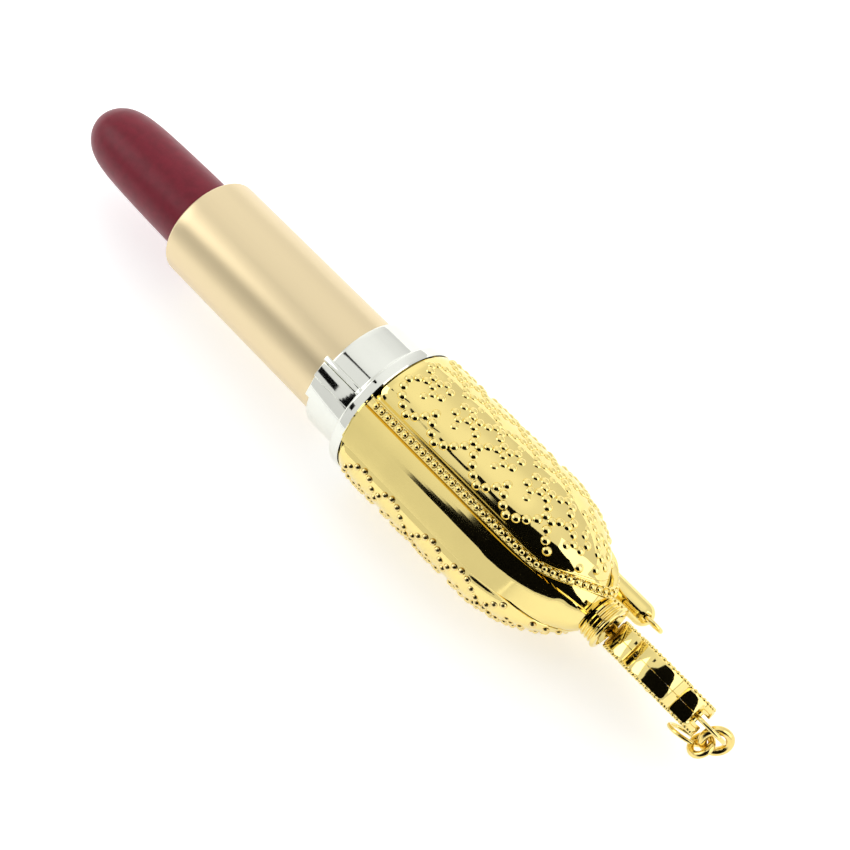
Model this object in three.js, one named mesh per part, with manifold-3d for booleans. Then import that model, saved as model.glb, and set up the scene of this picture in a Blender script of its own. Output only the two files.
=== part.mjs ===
// Twist-up lipstick case with a jewelled gold base, a chrome collar, a satin
// sleeve, and a swinging clover charm on the tail with its chain remnants.
// Millimetres. +X runs along the long axis to the tail (charm end), +Z is up,
// and the case lies on its side on a narrow flat of the back panel at z = 0.
// "Station" numbers below count along the axis from the sleeve's rim (0) to the
// charm; SHIFT moves them so that the origin is under the middle of the case.
import * as THREE from 'three';
import { mergeVertices } from 'three/addons/utils/BufferGeometryUtils.js';
import Module from 'manifold-3d';

const wasm = await Module();
wasm.setup();

// ---------------------------------------------------------------- dimensions
const SHIFT = 56;            // station that lies over the origin
const AXIS_Z = 11.0;         // height of the long axis above the surface
const SEG = 30;              // facets round a turned piece

const SLEEVE_R = 8.25, SLEEVE_IN = 7.65;
const CAM_R = 7.4, CAM_IN = 6.88;
const GUIDE_R = 6.78, GUIDE_IN = 6.3;
const CUP_R = 6.18, CUP_IN = 5.65;
const BULLET_R = 6.03, BULLET_TIP = -26.5;
const COLLAR_IN = 8.5, COLLAR_R = 9.3, FLANGE_R = 10.75;
const COLLAR_TOP = 33.4, FLANGE_TOP = 40.0, CASE_TOP = 42.1;
const CORE_R = 9.9;
const PANEL_IN = 10.15, PANEL_R = 11.1, BACK_R = 11.2;

const TRAVEL = 27.5;         // bullet travel
const TWIST_DEG = 450;       // sleeve turn for that travel
const LEAD = TRAVEL / (TWIST_DEG / 360);
const LUG_X = 10.4;          // station of the cup's lugs, bullet raised

const FRONT_PSI = 43;        // centre of the front pillow, degrees from +Z to +Y
const BACK_PSI = -137;
const REST_END = 65.5;        // where the resting flat stops, and how far the dome end is relieved
const REST_RELIEF = 0.06;
const STRAP_PSI = -48.5, REAR_PSI = 131.5, STRAP_HALF = 18.5;

const CHARM_X = 92.7, CHARM_LOBE = 4.3, CHARM_OFF = 3.75, CHARM_HALF_T = 2.05;
const PIN_X = 99.3;
const RING_R = 2.8, RING_WIRE = 0.3;

// ------------------------------------------------------------------- helpers
const rad = d => d * Math.PI / 180;
const P = (x, r, psiDeg) => new THREE.Vector3(
  x - SHIFT, r * Math.sin(rad(psiDeg)), AXIS_Z + r * Math.cos(rad(psiDeg)));

function toManifold(geo) {
  let g = geo.clone();
  if (!g.index) g.setIndex([...Array(g.attributes.position.count).keys()]);
  g.deleteAttribute('normal'); g.deleteAttribute('uv');
  g = mergeVertices(g, 1e-4);
  const idx = [];
  const a = g.index.array;
  for (let i = 0; i < a.length; i += 3) {
    if (a[i] !== a[i + 1] && a[i + 1] !== a[i + 2] && a[i] !== a[i + 2]) idx.push(a[i], a[i + 1], a[i + 2]);
  }
  const mesh = new wasm.Mesh({ numProp: 3, vertProperties: new Float32Array(g.attributes.position.array), triVerts: new Uint32Array(idx) });
  return new wasm.Manifold(mesh);
}
function toGeometry(man) {
  const m = man.getMesh();
  const g = new THREE.BufferGeometry();
  const v = m.vertProperties, n = m.numProp, pos = new Float32Array(v.length / n * 3);
  for (let i = 0, j = 0; i < v.length; i += n) { pos[j++] = v[i]; pos[j++] = v[i + 1]; pos[j++] = v[i + 2]; }
  g.setAttribute('position', new THREE.BufferAttribute(pos, 3));
  g.setIndex([...m.triVerts]);
  return g;
}
const cut = (a, ...bs) => toGeometry(bs.reduce((m, b) => m.subtract(toManifold(b)), toManifold(a)));
const join = (a, ...bs) => toGeometry(bs.reduce((m, b) => m.add(toManifold(b)), toManifold(a)));

// A turned piece: [station, radius] pairs along the long axis.
function turned(profile, seg = SEG) {
  const pts = profile.map(([x, r]) => new THREE.Vector2(r, x - SHIFT));
  const area = pts.reduce((s, p, i) => { const q = pts[(i + 1) % pts.length]; return s + p.x * q.y - q.x * p.y; }, 0);
  if (area < 0) pts.reverse();
  const open = pts.findIndex((p, i) => p.x < 1e-6 && pts[(i + pts.length - 1) % pts.length].x < 1e-6);
  if (open > 0) pts.push(...pts.splice(0, open));
  if (open < 0) pts.push(pts[0].clone());
  const g = new THREE.LatheGeometry(pts, seg);
  g.rotateZ(-Math.PI / 2);           // the lathe's +Y becomes +X
  g.translate(0, 0, AXIS_Z);
  return g;
}
// Box from corner to corner, in stations and offsets from the long axis.
function bar(x0, x1, w, h, psiDeg, r0 = 0) {
  const g = new THREE.BoxGeometry(x1 - x0, w, h);
  g.translate((x0 + x1) / 2 - SHIFT, 0, r0 + h / 2);
  g.rotateX(-rad(psiDeg));
  g.translate(0, 0, AXIS_Z);
  return g;
}
// Closed solid between an inner and an outer grid of points.
function slab(rows, cols, outer, inner) {
  const pos = [], idx = [];
  for (const f of [outer, inner]) for (let i = 0; i <= rows; i++) for (let j = 0; j <= cols; j++) {
    const p = f(i / rows, j / cols); pos.push(p.x, p.y, p.z);
  }
  const n = (rows + 1) * (cols + 1), id = (k, i, j) => k * n + i * (cols + 1) + j;
  const quad = (a, b, c, d) => idx.push(a, b, c, a, c, d);
  for (let i = 0; i < rows; i++) for (let j = 0; j < cols; j++) {
    quad(id(0, i, j), id(0, i, j + 1), id(0, i + 1, j + 1), id(0, i + 1, j));
    quad(id(1, i, j), id(1, i + 1, j), id(1, i + 1, j + 1), id(1, i, j + 1));
  }
  for (let j = 0; j < cols; j++) {
    quad(id(0, 0, j), id(1, 0, j), id(1, 0, j + 1), id(0, 0, j + 1));
    quad(id(0, rows, j), id(0, rows, j + 1), id(1, rows, j + 1), id(1, rows, j));
  }
  for (let i = 0; i < rows; i++) {
    quad(id(0, i, 0), id(0, i + 1, 0), id(1, i + 1, 0), id(1, i, 0));
    quad(id(0, i, cols), id(1, i, cols), id(1, i + 1, cols), id(0, i + 1, cols));
  }
  const g = new THREE.BufferGeometry();
  g.setAttribute('position', new THREE.Float32BufferAttribute(pos, 3));
  g.setIndex(idx);
  const m = toManifold(g);
  return m.volume() < 0 ? flip(g) : g;
}
function flip(g) {
  const a = g.index.array;
  for (let i = 0; i < a.length; i += 3) { const t = a[i + 1]; a[i + 1] = a[i + 2]; a[i + 2] = t; }
  return g;
}
// Ring of round wire: centre, plane normal, radii.
function ring(c, normal, R, r, seg = 20, sides = 8) {
  const g = new THREE.TorusGeometry(R, r, sides, seg);
  g.applyQuaternion(new THREE.Quaternion().setFromUnitVectors(new THREE.Vector3(0, 0, 1), normal.clone().normalize()));
  g.translate(c.x, c.y, c.z);
  return g;
}

// Radius of the case at each station; the four zones share this shape.
const SHAPE = [[42, 1], [67, 1], [69.5, .965], [72.2, .9], [74.9, .79], [77.2, .66], [78.8, .53], [80.2, .41], [81.2, .31]];
function shape(x) {
  for (let i = 1; i < SHAPE.length; i++) if (x <= SHAPE[i][0]) {
    const [x0, a] = SHAPE[i - 1], [x1, b] = SHAPE[i];
    return a + (b - a) * (x - x0) / (x1 - x0);
  }
  return SHAPE.at(-1)[1];
}
// A panel on the case: centre angle, half-angle at each station, radii.
function panel(psi, half, x0, x1, rIn, rOut, rows = 14, cols = 9) {
  const st = u => x0 + (x1 - x0) * Math.sin(u * Math.PI / 2);
  const pt = (u, v, r) => { const x = st(u); return P(x, r * shape(x), psi + (2 * v - 1) * half(x)); };
  return slab(rows, cols, (u, v) => pt(u, v, rOut), (u, v) => pt(u, v, rIn));
}

// ------------------------------------------------------------------ materials
const mat = (color, roughness, metalness) => new THREE.MeshStandardMaterial({ color, roughness, metalness });
const GOLD = () => mat(0xe6d277, 0.12, 1);
const SATIN = () => mat(0xe3cfa6, 0.32, 0.9);
const SILVER = () => mat(0xe4e8e2, 0.12, 1);
const group = new THREE.Group();
const add = (name, geo, material, parent = group) => {
  const m = new THREE.Mesh(geo, material); m.name = name; parent.add(m); return m;
};

// --------------------------------------------------------------- the mechanism
// Bullet of lip colour: stub in the cup, straight flank, rounded tip.
add('bullet', turned([
  [BULLET_TIP, 0], [-26.1, 1.9], [-25.2, 3.2], [-23.6, 4.4], [-21.4, 5.2], [-18, 5.6],
  [-13, 5.82], [-5, 5.98], [1.6, BULLET_R], [1.6, CUP_IN - 0.15], [11, CUP_IN - 0.15], [11, 0]]), mat(0x7c2c3a, 0.42, 0));

// Elevator cup with a floor and two lugs that stand out through the guide.
const lug = psi => {
  const g = new THREE.CylinderGeometry(0.65, 0.65, 1.3, 12);
  g.rotateX(Math.PI / 2);
  g.translate(LUG_X - SHIFT, 0, CUP_R - 0.25 + 0.65);
  g.rotateX(-rad(psi)); g.translate(0, 0, AXIS_Z);
  return g;
};
add('elevator_cup', join(
  turned([[2, CUP_IN], [2, CUP_R], [12.6, CUP_R], [12.6, 0], [11.3, 0], [11.3, CUP_IN]]),
  lug(90), lug(-90)), mat(0xd8d8d2, 0.45, 0));

// Guide tube with two straight slots; its foot flange is held in the collar.
add('guide_tube', cut(
  turned([[1.4, GUIDE_IN], [1.4, GUIDE_R], [46.2, GUIDE_R], [46.2, 8.2], [47.8, 8.2], [47.8, GUIDE_IN]]),
  bar(LUG_X - 1, LUG_X + TRAVEL + 1.2, 1.9, 20, 90, -10)), mat(0xcfd0ca, 0.5, 0));

// Cam tube with two helical slots that drive the lugs.
function helix(phase) {
  const steps = 36, w = 0.98, pos = [], idx = [];
  for (let k = 0; k <= steps; k++) {
    const f = -0.02 + 1.04 * k / steps, psi = phase + TWIST_DEG * f, x = LUG_X + TRAVEL * f;
    const slope = LEAD / (2 * Math.PI * 7.1), c = w * Math.sqrt(1 + slope * slope);
    for (const [dx, r] of [[-c, 5.8], [c, 5.8], [c, 8.4], [-c, 8.4]]) { const p = P(x + dx, r, psi); pos.push(p.x, p.y, p.z); }
  }
  for (let k = 0; k < steps; k++) for (let j = 0; j < 4; j++) {
    const a = 4 * k + j, b = 4 * k + (j + 1) % 4, c = a + 4, d = b + 4;
    idx.push(a, b, d, a, d, c);
  }
  idx.push(0, 2, 1, 0, 3, 2); const e = 4 * steps; idx.push(e, e + 1, e + 2, e, e + 2, e + 3);
  const g = new THREE.BufferGeometry();
  g.setAttribute('position', new THREE.Float32BufferAttribute(pos, 3)); g.setIndex(idx);
  return toManifold(g).volume() < 0 ? flip(g) : g;
}
add('spiral_cam_tube', cut(
  turned([[1.6, CAM_IN], [1.6, CAM_R], [44, CAM_R], [44, CAM_IN]]), helix(90), helix(-90)), mat(0xb9bab5, 0.5, 0));

// Satin outer sleeve, its rim rolled in.
add('sleeve', turned([
  [0, 7.35], [0, 7.75], [0.15, 8.05], [0.5, SLEEVE_R], [44, SLEEVE_R], [44, SLEEVE_IN], [1.2, SLEEVE_IN], [1.2, 7.35]], 36), SATIN());

// Friction ring below the cam tube.
add('friction_ring', turned([[44.35, 7.1], [44.35, 7.9], [45.8, 7.9], [45.8, 7.1]], 28), mat(0x2b2b2b, 0.8, 0));

// ------------------------------------------------------------------ the collar
// Chrome collar: cap-seating ring, a wider flange, and a skirt held in the case.
add('collar', join(
  turned([[COLLAR_TOP, COLLAR_IN], [COLLAR_TOP, 8.9], [COLLAR_TOP + 0.5, COLLAR_R], [FLANGE_TOP, COLLAR_R], [FLANGE_TOP, FLANGE_R - 0.3],
    [FLANGE_TOP + 0.4, FLANGE_R], [CASE_TOP - 0.3, FLANGE_R], [CASE_TOP - 0.3, 9.35], [49.6, 9.35], [49.6, COLLAR_IN]], 36),
  bar(COLLAR_TOP - 0.7, FLANGE_TOP + 1, 4.4, 0.95, STRAP_PSI + 2, 8.75),
  bar(COLLAR_TOP - 0.7, FLANGE_TOP + 1, 4.4, 0.95, REAR_PSI + 2, 8.75)), SILVER());

// -------------------------------------------------------------------- the case
// Core shell: open at the top for the collar, domed at the tail, with a screw hole.
add('case_core', turned([
  [CASE_TOP + 0.1, 9.6], [CASE_TOP + 0.1, CORE_R], [67, CORE_R], [69.5, 9.55], [72.2, 8.9], [74.9, 7.8], [77.2, 6.5],
  [78.8, 5.2], [80.2, 4.0], [81.2, 3.0], [81.2, 1.35], [72, 1.35], [71.2, 8.0], [70, 8.8], [50.2, 8.8], [50.2, 9.6]], 32), GOLD());

// Steel slug that gives the base its weight.
add('base_weight', turned([[50.6, 0], [50.6, 8.5], [69.2, 8.5], [69.2, 2.4], [67, 2.4], [67, 0]], 28), mat(0x8d8f92, 0.5, 1));

const topHalf = 61, taper = (x, x0, x1, h) => x <= x0 ? h : h * Math.sqrt(Math.max(0, 1 - ((x - x0) / (x1 - x0)) ** 2));
const frontHalf = x => Math.max(2, taper(x, 71.5, 79.6, topHalf));
add('front_panel', panel(FRONT_PSI, frontHalf, CASE_TOP + 0.15, 79.2, PANEL_IN, PANEL_R), GOLD());

// Back pillow panel with the narrow flat that the case lies on.
const backHalf = x => x <= 70 ? 69.5 : Math.max(5, 69.5 * Math.sqrt(Math.max(0, 1 - ((x - 70) / 11.6) ** 2)));
const under = new THREE.BoxGeometry(60, 40, 10); under.translate(0, 0, -5);
// The flat it rests on ends square at the dome, so it stands on four corners.
const relief = new THREE.BoxGeometry(12, 8, 2).translate(REST_END - SHIFT + 6, 0, REST_RELIEF - 1);
add('back_panel', cut(panel(BACK_PSI, backHalf, CASE_TOP + 0.15, 80.2, PANEL_IN, BACK_R, 14, 12), under, relief), GOLD());

// Beaded rail that frames the front pillow in one long U.
function rail() {
  const n = 40, rows = n, path = [];
  const hi = x => x <= 71.5 ? 67.2 : 67.2 * Math.sqrt(Math.max(0, 1 - ((x - 71.5) / 9.3) ** 2));
  for (let k = 0; k <= n; k++) {
    const u = -1 + 2 * k / n, s = Math.sign(u), q = 1 - Math.abs(u);
    const x = CASE_TOP + 0.15 + (80.8 - CASE_TOP - 0.15) * Math.sin(q * Math.PI / 2);
    path.push([x, FRONT_PSI + s * hi(x)]);
  }
  const pts = path.map(([x, psi]) => [P(x, PANEL_IN * shape(x) + 0.02, psi), x, psi]);
  const sec = (k, side, r) => {
    const [p, x, psi] = pts[k];
    const a = pts[Math.max(0, k - 1)][0], b = pts[Math.min(n, k + 1)][0];
    const t = b.clone().sub(a).normalize();
    const out = P(x, 1, psi).sub(P(x, 0, psi));
    const dx = 0.4, sl = (shape(x + dx) - shape(x - dx)) * PANEL_R / (2 * dx);
    const nrm = out.clone().add(new THREE.Vector3(-sl, 0, 0)).normalize();
    const w = t.clone().cross(nrm).normalize();
    return p.clone().addScaledVector(nrm, r).addScaledVector(w, side * 0.62);
  };
  return slab(rows, 1, (u, v) => sec(Math.round(u * n), 2 * v - 1, 1.25), (u, v) => sec(Math.round(u * n), 2 * v - 1, 0));
}
add('bead_rail', rail(), GOLD());

// Smooth straps between the two pillows; the rear one ends in the chain lug.
const strapHalf = x => x <= 70 ? STRAP_HALF - 1.6 : (STRAP_HALF - 1.6) * (1 - 0.25 * (x - 70) / 11);
add('front_strap', panel(STRAP_PSI - 0.6, strapHalf, CASE_TOP + 0.15, 80.9, PANEL_IN, PANEL_R + 0.1, 12, 4), GOLD());
const LUG = { x0: 70.5, x1: 86.2, r: 1.75, rad: 7.7, psi: 126 };
const rod = new THREE.CapsuleGeometry(LUG.r, LUG.x1 - LUG.x0 - 2 * LUG.r, 6, 18);
rod.rotateZ(Math.PI / 2);
rod.translate((LUG.x0 + LUG.x1) / 2 - SHIFT, 0, LUG.rad);
rod.rotateX(-rad(LUG.psi)); rod.translate(0, 0, AXIS_Z);
const EYE_X = 84.9, LOOP_R = 1.45, LOOP_WIRE = 0.38, LOOP_SWING = 15;
const dirM = new THREE.Vector3(0, Math.sin(rad(72)), Math.cos(rad(72)));
const dirN = new THREE.Vector3(0, -Math.cos(rad(72)), Math.sin(rad(72)));
const E = P(EYE_X, LUG.rad, LUG.psi);
// Curved eye: room for the loop at each end of its swing and in the middle.
const eyes = [-LOOP_SWING, 0, LOOP_SWING].map(d => {
  const q = new THREE.Quaternion().setFromAxisAngle(dirN, rad(d));
  const c = new THREE.Vector3(LOOP_R, 0, 0).applyQuaternion(q).add(E);
  return ring(c, dirM.clone().applyQuaternion(q), LOOP_R, LOOP_WIRE + 0.2, 20, 8);
});
const coreCut = turned([[60, 0], [60, CORE_R + 0.25], [67, CORE_R + 0.25], [69.5, 9.8], [72.2, 9.15], [74.9, 8.05], [77.2, 6.75],
  [78.8, 5.45], [80.2, 4.25], [81.6, 3.6], [84.5, 3.6], [84.5, 0]], 32);
const backCut = panel(BACK_PSI, x => backHalf(x) + 1.8, CASE_TOP, 80.4, PANEL_IN - 0.8, BACK_R + 1.5, 14, 12);
const railCut = panel(FRONT_PSI, x => (x <= 71.5 ? 70.5 : 70.5 * Math.sqrt(Math.max(0.004, 1 - ((x - 71.5) / 10.1) ** 2))), CASE_TOP, 81.4, PANEL_IN - 0.8, PANEL_R + 1.5, 14, 12);
add('rear_strap', cut(join(panel(REAR_PSI + 0.4, strapHalf, CASE_TOP + 0.15, 80.9, PANEL_IN, PANEL_R + 0.1, 12, 4), rod),
  coreCut, backCut, railCut, ...eyes), GOLD());

// ------------------------------------------------------------------ the finial
// Grooved cup on the tail, open underneath, held by a screw from inside.
add('finial_cup', turned([
  [81.5, 1.35], [81.5, 3.05], [81.75, 3.2], [82.0, 2.85], [82.25, 3.2], [82.5, 2.85], [82.75, 3.25], [83.0, 2.95],
  [83.3, 3.35], [83.8, 3.4], [84.1, 3.2], [84.1, 2.7], [82.6, 2.5], [82.6, 1.35]], 24), GOLD());
// Hollow rivet that holds the finial to the core and guides the neck.
add('swivel_rivet', turned([
  [70.2, 1.15], [70.2, 2.1], [71.6, 2.1], [71.6, 1.25], [82.9, 1.25], [82.9, 1.9], [83.4, 1.9], [83.4, 0.85], [71.0, 0.85], [71.0, 0.75], [70.2, 0.75]], 14), mat(0xb59a55, 0.35, 1));
// Neck post that turns in the rivet and carries the charm.
add('neck_post', turned([
  [69.6, 0], [69.6, 1.2], [69.95, 1.2], [69.95, 0.6], [83.7, 0.6], [83.7, 0.85], [86.2, 0.85], [86.2, 0.7], [88.6, 0.7], [88.6, 0]], 14), GOLD());

// ------------------------------------------------------------------- the charm
// Four-lobed clover in two half shells. Local x = long axis, y = breadth,
// z = thickness; the turn below stands it on edge.
const charm = new THREE.Group();
charm.position.set(CHARM_X - SHIFT, 0, AXIS_Z);
charm.rotation.x = -rad(72);       // thickness along the direction 72 degrees from +Z to +Y
group.add(charm);
function clover(inset) {
  const s = new THREE.Shape(), r = CHARM_LOBE - inset, d = CHARM_OFF, pts = [];
  const N = 9;
  for (let q = 0; q < 4; q++) {
    const c = q * Math.PI / 2, cx = d * Math.cos(c), cy = d * Math.sin(c);
    // lobes meet on the diagonals
    const half = Math.PI / 4 + Math.asin(d * Math.SQRT1_2 / r);
    for (let k = 0; k <= N; k++) {
      const t = c - half + 2 * half * k / N;
      if (k === N) continue;
      pts.push(new THREE.Vector2(cx + r * Math.cos(t), cy + r * Math.sin(t)));
    }
  }
  s.setFromPoints(pts);
  return s;
}
function charmHalf(sign) {
  const plate = new THREE.ExtrudeGeometry(clover(0), { depth: CHARM_HALF_T - 0.15, bevelEnabled: false });
  plate.translate(0, 0, 0.15);
  const neck = new THREE.CylinderGeometry(1.1, 1.1, 6, 20); neck.rotateZ(Math.PI / 2); neck.translate(83.2 + 3 - CHARM_X, 0, 0);
  const slot = new THREE.CylinderGeometry(3.3, 3.3, 1.5, 24); slot.rotateX(Math.PI / 2); slot.translate(PIN_X + 0.6 - CHARM_X, 0, 0);
  const pinHole = new THREE.CylinderGeometry(0.72, 0.72, 10, 16); pinHole.rotateX(Math.PI / 2); pinHole.translate(PIN_X - CHARM_X, 0, 0);
  const stud = [[0, 4.6], [0, -4.6]].map(([x, y]) => { const g = new THREE.CylinderGeometry(0.75, 0.75, 10, 14); g.rotateX(Math.PI / 2); g.translate(x, y, 0); return g; });
  let g = cut(plate, neck, slot, pinHole, ...stud);
  if (sign < 0) { g.rotateX(Math.PI); }
  return g;
}
add('charm_front_shell', charmHalf(1), GOLD(), charm);
add('charm_back_shell', charmHalf(-1), GOLD(), charm);
const pin = (x, y, r, h = 2 * CHARM_HALF_T) => { const g = new THREE.CylinderGeometry(r, r, h, 14); g.rotateX(Math.PI / 2); g.translate(x, y, 0); return g; };
add('charm_ring_pin', pin(PIN_X - CHARM_X, 0, 0.5), GOLD(), charm);
add('charm_rivet_upper', pin(0, 4.6, 0.5), GOLD(), charm);
add('charm_rivet_lower', pin(0, -4.6, 0.5), GOLD(), charm);

// ----------------------------------------------------- jump ring and chain links
// m: the charm's thickness direction, n: the breadth direction that points up.
const m = new THREE.Vector3(0, Math.sin(rad(72)), Math.cos(rad(72)));
const n = new THREE.Vector3(0, -Math.cos(rad(72)), Math.sin(rad(72)));
const at = (x, mm, nn) => new THREE.Vector3(x - SHIFT, 0, AXIS_Z).addScaledVector(m, mm).addScaledVector(n, nn);
const JR = PIN_X + RING_R - RING_WIRE - 0.5 - 0.1;
add('jump_ring', ring(at(JR, 0, 0), m, RING_R, RING_WIRE, 20, 6), GOLD());
const vec = (x, mm, nn) => new THREE.Vector3(x, 0, 0).addScaledVector(m, mm).addScaledVector(n, nn);
add('chain_link_large', ring(at(102.979, -0.472, -2.708), vec(0.332, -0.236, 0.397), 1.75, 0.6, 16, 8), GOLD());
add('chain_link_small', ring(at(102.006, -2.226, -3.146), vec(-0.802, 0.163, 0.9), 1.5, 0.5, 16, 8), GOLD());
add('chain_end_ring', ring(at(99.522, -2.775, -4.494), vec(-0.281, 1.445, 0.305), 2.3, 0.3, 18, 6), GOLD());

// Ring through the lug's eye, with the chain's last link.
const LM = LUG.rad * Math.cos(rad(LUG.psi - 72)), LN = -LUG.rad * Math.sin(rad(LUG.psi - 72));
add('lug_ring', ring(at(EYE_X + LOOP_R, LM, LN), m, LOOP_R, LOOP_WIRE, 16, 7), GOLD());

export default group;
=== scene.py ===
"""Twist-up lipstick with a jewelled gold case and a clover charm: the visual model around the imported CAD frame."""
import math
import bpy, bmesh
import numpy as np
from mathutils import Vector, Matrix


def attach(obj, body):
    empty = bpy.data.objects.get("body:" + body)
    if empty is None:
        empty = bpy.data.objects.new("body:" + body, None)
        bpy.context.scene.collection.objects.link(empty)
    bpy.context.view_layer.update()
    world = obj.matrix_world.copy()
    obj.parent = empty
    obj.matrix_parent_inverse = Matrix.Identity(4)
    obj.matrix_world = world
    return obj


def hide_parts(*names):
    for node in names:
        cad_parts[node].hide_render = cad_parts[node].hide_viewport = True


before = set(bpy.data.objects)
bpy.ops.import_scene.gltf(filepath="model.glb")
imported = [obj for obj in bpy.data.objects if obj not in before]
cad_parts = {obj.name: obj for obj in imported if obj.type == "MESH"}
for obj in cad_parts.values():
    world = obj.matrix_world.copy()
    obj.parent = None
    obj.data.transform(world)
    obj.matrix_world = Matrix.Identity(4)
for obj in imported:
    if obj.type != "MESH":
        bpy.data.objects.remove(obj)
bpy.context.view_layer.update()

SHIFT, AXIS_Z = 56.0, 11.0
D = math.radians
scene = bpy.context.scene

# ------------------------------------------------------------------ camera
F_PX, TAU, ROLL, LEAN = 1500.0, D(20.0), D(43.78), D(1.3)
DEPTH, RIM_X, RIM_Y = 222.5, -18.5, -292.0

def to_photo(v):
    x, y, z = v
    return Vector((x * math.cos(ROLL) + y * math.sin(ROLL), -x * math.sin(ROLL) + y * math.cos(ROLL), z))

p_cam = to_photo((RIM_X * DEPTH / F_PX, RIM_Y * DEPTH / F_PX, DEPTH))
xc = to_photo((math.sin(LEAN) * math.cos(TAU), math.cos(LEAN) * math.cos(TAU), -math.sin(TAU)))
E = math.atan2(xc.y, -xc.z)
zc = Vector((0, -math.cos(E), -math.sin(E)))
zc = (zc - xc * zc.dot(xc)).normalized()
yc = zc.cross(xc)
right, down, fwd = (Vector((xc[i], yc[i], zc[i])) for i in range(3))
rim = Vector((-SHIFT, 0, AXIS_Z))
cam_pos = rim - (right * p_cam.x + down * p_cam.y + fwd * p_cam.z)
cam_data = bpy.data.cameras.new("camera")
cam = bpy.data.objects.new("camera", cam_data)
scene.collection.objects.link(cam)
cam_data.sensor_width = 36.0
cam_data.lens = F_PX / 850.0 * 36.0
cam_data.clip_start = 0.005
rot = Matrix((right, -down, -fwd)).transposed()
cam.matrix_world = Matrix.Translation(cam_pos / 1000) @ rot.to_4x4()
scene.camera = cam
TO_CAM = -fwd                       # towards the camera, used to place the studio only

# --------------------------------------------------------------- materials
def material(name, base, rough, metal=0.0, **kw):
    m = bpy.data.materials.new(name)
    m.use_nodes = True
    nt = m.node_tree
    b = nt.nodes["Principled BSDF"]
    b.inputs["Metallic"].default_value = metal
    b.inputs["Roughness"].default_value = rough
    b.inputs["Base Color"].default_value = (*base, 1)
    if "spec" in kw: b.inputs["Specular IOR Level"].default_value = kw["spec"]
    if "coat" in kw:
        b.inputs["Coat Weight"].default_value = kw["coat"]
        b.inputs["Coat Roughness"].default_value = kw.get("coat_rough", 0.1)
    if "sss" in kw:
        b.inputs["Subsurface Weight"].default_value = kw["sss"]
        b.inputs["Subsurface Radius"].default_value = (0.0012, 0.0004, 0.0004)
        b.inputs["Subsurface Scale"].default_value = 1.0
    tc = nt.nodes.new("ShaderNodeTexCoord")
    # colour: two tones mixed by soft noise
    n1 = nt.nodes.new("ShaderNodeTexNoise")
    n1.inputs["Scale"].default_value = kw.get("tone_scale", 180)
    n1.inputs["Detail"].default_value = 4
    mp = nt.nodes.new("ShaderNodeMapping")
    mp.inputs["Scale"].default_value = kw.get("stretch", (1, 1, 1))
    nt.links.new(tc.outputs["Object"], mp.inputs["Vector"])
    nt.links.new(mp.outputs["Vector"], n1.inputs["Vector"])
    ramp = nt.nodes.new("ShaderNodeValToRGB")
    v = kw.get("vary", 0.05)
    ramp.color_ramp.elements[0].position = 0.35
    ramp.color_ramp.elements[1].position = 0.65
    ramp.color_ramp.elements[0].color = (*[c * (1 - v) for c in base], 1)
    ramp.color_ramp.elements[1].color = (*[min(1, c * (1 + v)) for c in base], 1)
    nt.links.new(n1.outputs["Fac"], ramp.inputs["Fac"])
    colour = ramp.outputs["Color"]
    if "sparkle" in kw:
        vo = nt.nodes.new("ShaderNodeTexVoronoi")
        vo.inputs["Scale"].default_value = kw.get("sparkle_scale", 5200)
        nt.links.new(tc.outputs["Object"], vo.inputs["Vector"])
        r2 = nt.nodes.new("ShaderNodeValToRGB")
        r2.color_ramp.elements[0].position = 0.06
        r2.color_ramp.elements[0].color = (1, 1, 1, 1)
        r2.color_ramp.elements[1].position = 0.22
        r2.color_ramp.elements[1].color = (0, 0, 0, 1)
        nt.links.new(vo.outputs["Distance"], r2.inputs["Fac"])
        mx = nt.nodes.new("ShaderNodeMix"); mx.data_type = "RGBA"
        mul = nt.nodes.new("ShaderNodeMath"); mul.operation = "MULTIPLY"; mul.inputs[1].default_value = 0.5
        nt.links.new(r2.outputs["Color"], mul.inputs[0])
        nt.links.new(mul.outputs[0], mx.inputs["Factor"])
        nt.links.new(colour, mx.inputs["A"])
        mx.inputs["B"].default_value = (*kw["sparkle"], 1)
        colour = mx.outputs["Result"]
    nt.links.new(colour, b.inputs["Base Color"])
    # roughness: cloudy variation, as in handled plating
    n2 = nt.nodes.new("ShaderNodeTexNoise")
    n2.inputs["Scale"].default_value = kw.get("rough_scale", 90)
    n2.inputs["Detail"].default_value = 5
    nt.links.new(mp.outputs["Vector"], n2.inputs["Vector"])
    mr = nt.nodes.new("ShaderNodeMapRange")
    mr.inputs["From Min"].default_value = 0.3
    mr.inputs["From Max"].default_value = 0.7
    mr.inputs["To Min"].default_value = rough * (1 - kw.get("rough_vary", 0.25))
    mr.inputs["To Max"].default_value = rough * (1 + kw.get("rough_vary", 0.25))
    nt.links.new(n2.outputs["Fac"], mr.inputs["Value"])
    nt.links.new(mr.outputs["Result"], b.inputs["Roughness"])
    n3 = nt.nodes.new("ShaderNodeTexNoise")
    n3.inputs["Scale"].default_value = kw.get("bump_scale", 900)
    n3.inputs["Detail"].default_value = 3
    nt.links.new(mp.outputs["Vector"], n3.inputs["Vector"])
    bp = nt.nodes.new("ShaderNodeBump")
    bp.inputs["Strength"].default_value = kw.get("bump", 0.05)
    bp.inputs["Distance"].default_value = kw.get("bump_dist", 0.00003)
    nt.links.new(n3.outputs["Fac"], bp.inputs["Height"])
    nt.links.new(bp.outputs["Normal"], b.inputs["Normal"])
    return m

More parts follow.
